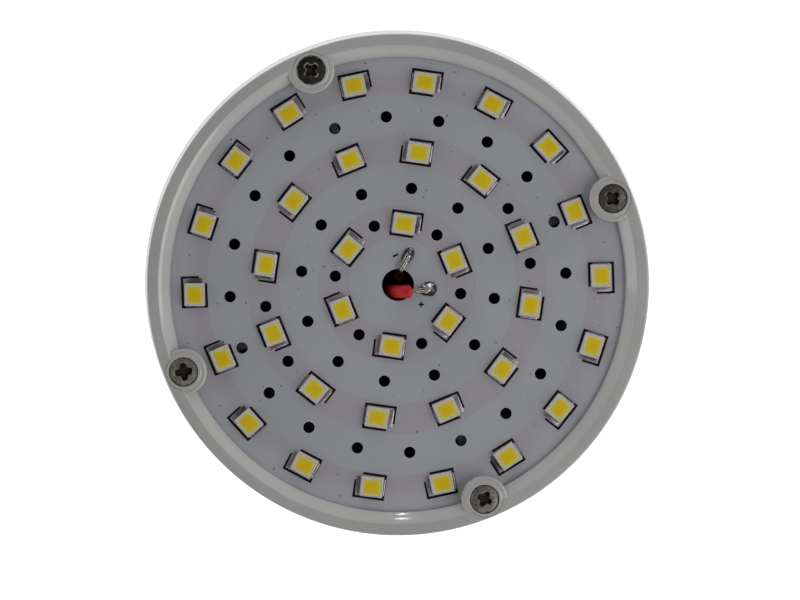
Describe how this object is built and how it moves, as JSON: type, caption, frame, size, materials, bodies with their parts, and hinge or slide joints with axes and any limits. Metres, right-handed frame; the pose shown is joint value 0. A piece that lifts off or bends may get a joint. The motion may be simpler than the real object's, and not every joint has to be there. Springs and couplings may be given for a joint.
{
  "type": "corn led bulb",
  "caption": "Corn LED bulb with an Edison screw cap, a vented driver housing, LED strips round a cooled core and a round LED plate under a screwed ring.",
  "frame": {"origin": "tip of the cap's centre contact, on the bulb's axis", "axes": "+Z along the bulb's axis from the cap to the LED plate; +X through one ring screw"},
  "size_m": [0.0692, 0.0692, 0.1724],
  "materials": {
    "contact_metal": "tinned and lightly worn",
    "cap_insulator": "glossy black",
    "cap_metal": "nickel-plated, rolled",
    "housing_plastic": "satin moulded white",
    "ring_plastic": "moulded white, light gloss",
    "core_aluminium": "extruded, mill finish",
    "plate_mask": "white solder mask on an aluminium board",
    "strip_mask": "white solder mask on an aluminium strip",
    "led_package": "white package with yellow phosphor",
    "screw_steel": "dark steel",
    "driver_board": "green board laminate",
    "capacitor_sleeve": "shrink sleeve",
    "coil_tape": "yellow tape over windings",
    "black_moulding": "moulded black",
    "film_case": "dipped case",
    "resistor_body": "coated body",
    "lead_sleeve": "red insulation",
    "solder": "bright solder"
  },
  "bodies": {
    "root": {"centre_contact": "contact_metal", "cap_insulator": "cap_insulator", "screw_shell": "cap_metal", "driver_housing": "housing_plastic", "core_tube": "core_aluminium", "top_frame": "ring_plastic", "top_ring": "ring_plastic", "led_plate": "plate_mask", "inner_ring_leds": "led_package", "middle_ring_leds": "led_package", "outer_ring_leds": "led_package", "ring_screws": "screw_steel", "driver_board": "driver_board", "input_capacitor": "capacitor_sleeve", "transformer": "coil_tape", "bridge_rectifier": "black_moulding", "driver_chip": "black_moulding", "film_capacitor": "film_case", "fuse_resistor": "resistor_body", "contact_lead": "lead_sleeve", "shell_lead": "lead_sleeve", "positive_lead": "lead_sleeve", "negative_lead": "lead_sleeve", "solder_joints": "solder", "led_strip_01": "strip_mask", "strip_leds_01": "led_package", "led_strip_02": "strip_mask", "strip_leds_02": "led_package", "led_strip_03": "strip_mask", "strip_leds_03": "led_package", "led_strip_04": "strip_mask", "strip_leds_04": "led_package", "led_strip_05": "strip_mask", "strip_leds_05": "led_package", "led_strip_06": "strip_mask", "strip_leds_06": "led_package", "led_strip_07": "strip_mask", "strip_leds_07": "led_package", "led_strip_08": "strip_mask", "strip_leds_08": "led_package", "led_strip_09": "strip_mask", "strip_leds_09": "led_package", "led_strip_10": "strip_mask", "strip_leds_10": "led_package", "led_strip_11": "strip_mask", "strip_leds_11": "led_package", "led_strip_12": "strip_mask", "strip_leds_12": "led_package"}
  },
  "joints": []
}
